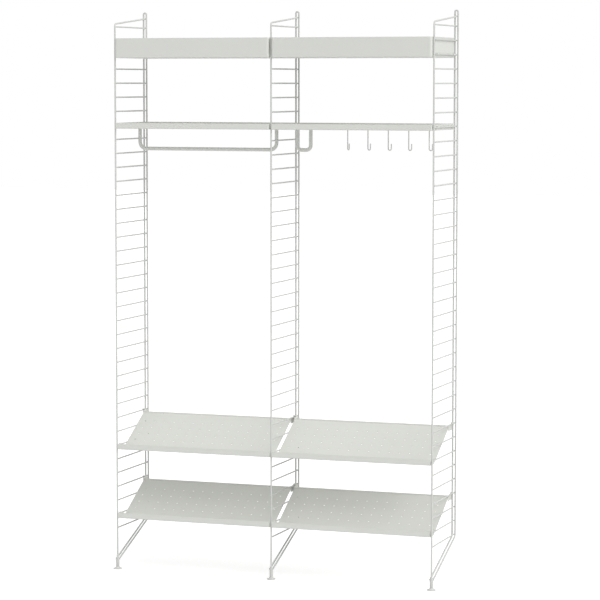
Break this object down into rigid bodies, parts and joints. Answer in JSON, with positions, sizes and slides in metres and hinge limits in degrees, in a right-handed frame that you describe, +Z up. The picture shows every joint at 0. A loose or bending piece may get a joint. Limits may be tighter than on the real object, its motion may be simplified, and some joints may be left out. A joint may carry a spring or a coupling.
{
  "type": "hallway shelving unit",
  "caption": "Hallway shelving unit with wire ladders, deep and shallow trays, a clothes rail, coat hooks and tilted perforated shoe shelves, fastened to the wall at the top.",
  "frame": {"origin": "on the floor, at the centre of the unit's footprint", "axes": "+X along the wall to the right, +Y back to the wall, +Z up"},
  "size_m": [1.214, 0.294, 2.008],
  "materials": {
    "ladder_coating": "satin",
    "shelf_coating": "matt",
    "rail_coating": "satin",
    "hook_coating": "satin",
    "foot_plastic": "matt",
    "zinc_steel": "satin"
  },
  "bodies": {
    "frame": {"left_front_post": "ladder_coating", "left_rear_wires": "ladder_coating", "left_rungs": "ladder_coating", "left_foot_bush": "ladder_coating", "middle_front_post": "ladder_coating", "middle_rear_wires": "ladder_coating", "middle_rungs": "ladder_coating", "middle_foot_bush": "ladder_coating", "right_front_post": "ladder_coating", "right_rear_wires": "ladder_coating", "right_rungs": "ladder_coating", "right_foot_bush": "ladder_coating"},
    "left_foot": {"left_foot_stud": "zinc_steel", "left_foot_pad": "foot_plastic"},
    "middle_foot": {"middle_foot_stud": "zinc_steel", "middle_foot_pad": "foot_plastic"},
    "right_foot": {"right_foot_stud": "zinc_steel", "right_foot_pad": "foot_plastic"},
    "left_top_tray": {"left_top_tray": "shelf_coating", "left_top_tray_tabs": "shelf_coating"},
    "left_low_tray": {"left_low_tray": "shelf_coating", "left_low_tray_tabs": "shelf_coating", "clothes_rail": "rail_coating", "clothes_rail_nuts": "zinc_steel"},
    "left_upper_shoe_shelf": {"left_upper_shoe_shelf": "shelf_coating", "left_upper_shoe_shelf_tabs": "shelf_coating"},
    "left_lower_shoe_shelf": {"left_lower_shoe_shelf": "shelf_coating", "left_lower_shoe_shelf_tabs": "shelf_coating"},
    "right_top_tray": {"right_top_tray": "shelf_coating", "right_top_tray_tabs": "shelf_coating"},
    "right_low_tray": {"right_low_tray": "shelf_coating", "right_low_tray_tabs": "shelf_coating", "short_rail": "rail_coating", "short_rail_nuts": "zinc_steel"},
    "right_upper_shoe_shelf": {"right_upper_shoe_shelf": "shelf_coating", "right_upper_shoe_shelf_tabs": "shelf_coating"},
    "right_lower_shoe_shelf": {"right_lower_shoe_shelf": "shelf_coating", "right_lower_shoe_shelf_tabs": "shelf_coating"},
    "hook_1": {"hook_1": "hook_coating", "hook_1_nut": "zinc_steel"},
    "hook_2": {"hook_2": "hook_coating", "hook_2_nut": "zinc_steel"},
    "hook_3": {"hook_3": "hook_coating", "hook_3_nut": "zinc_steel"},
    "hook_4": {"hook_4": "hook_coating", "hook_4_nut": "zinc_steel"},
    "hook_5": {"hook_5": "hook_coating", "hook_5_nut": "zinc_steel"}
  },
  "joints": [
    {"name": "left_foot_screw", "type": "slide", "parent": "frame", "child": "left_foot", "axis": [0, 0, -1], "range_m": [0, 0.01]},
    {"name": "middle_foot_screw", "type": "slide", "parent": "frame", "child": "middle_foot", "axis": [0, 0, -1], "range_m": [0, 0.01]},
    {"name": "right_foot_screw", "type": "slide", "parent": "frame", "child": "right_foot", "axis": [0, 0, -1], "range_m": [0, 0.01]},
    {"name": "left_top_tray_lift", "type": "slide", "parent": "frame", "child": "left_top_tray", "axis": [0, 0, 1], "range_m": [0, 0.02]},
    {"name": "left_low_tray_lift", "type": "slide", "parent": "frame", "child": "left_low_tray", "axis": [0, 0, 1], "range_m": [0, 0.02]},
    {"name": "left_upper_shoe_shelf_lift", "type": "slide", "parent": "frame", "child": "left_upper_shoe_shelf", "axis": [0, 0, 1], "range_m": [0, 0.02]},
    {"name": "left_lower_shoe_shelf_lift", "type": "slide", "parent": "frame", "child": "left_lower_shoe_shelf", "axis": [0, 0, 1], "range_m": [0, 0.02]},
    {"name": "right_top_tray_lift", "type": "slide", "parent": "frame", "child": "right_top_tray", "axis": [0, 0, 1], "range_m": [0, 0.02]},
    {"name": "right_low_tray_lift", "type": "slide", "parent": "frame", "child": "right_low_tray", "axis": [0, 0, 1], "range_m": [0, 0.02]},
    {"name": "right_upper_shoe_shelf_lift", "type": "slide", "parent": "frame", "child": "right_upper_shoe_shelf", "axis": [0, 0, 1], "range_m": [0, 0.02]},
    {"name": "right_lower_shoe_shelf_lift", "type": "slide", "parent": "frame", "child": "right_lower_shoe_shelf", "axis": [0, 0, 1], "range_m": [0, 0.02]},
    {"name": "hook_1_turn", "type": "hinge", "parent": "right_low_tray", "child": "hook_1", "pos_m": [0.2205, 0.0535, 1.589], "axis": [0, 0, 1], "continuous": true},
    {"name": "hook_2_turn", "type": "hinge", "parent": "right_low_tray", "child": "hook_2", "pos_m": [0.2955, 0.0535, 1.589], "axis": [0, 0, 1], "continuous": true},
    {"name": "hook_3_turn", "type": "hinge", "parent": "right_low_tray", "child": "hook_3", "pos_m": [0.3705, 0.0535, 1.589], "axis": [0, 0, 1], "continuous": true},
    {"name": "hook_4_turn", "type": "hinge", "parent": "right_low_tray", "child": "hook_4", "pos_m": [0.4455, 0.0535, 1.589], "axis": [0, 0, 1], "continuous": true},
    {"name": "hook_5_turn", "type": "hinge", "parent": "right_low_tray", "child": "hook_5", "pos_m": [0.5205, 0.0535, 1.589], "axis": [0, 0, 1], "continuous": true}
  ]
}
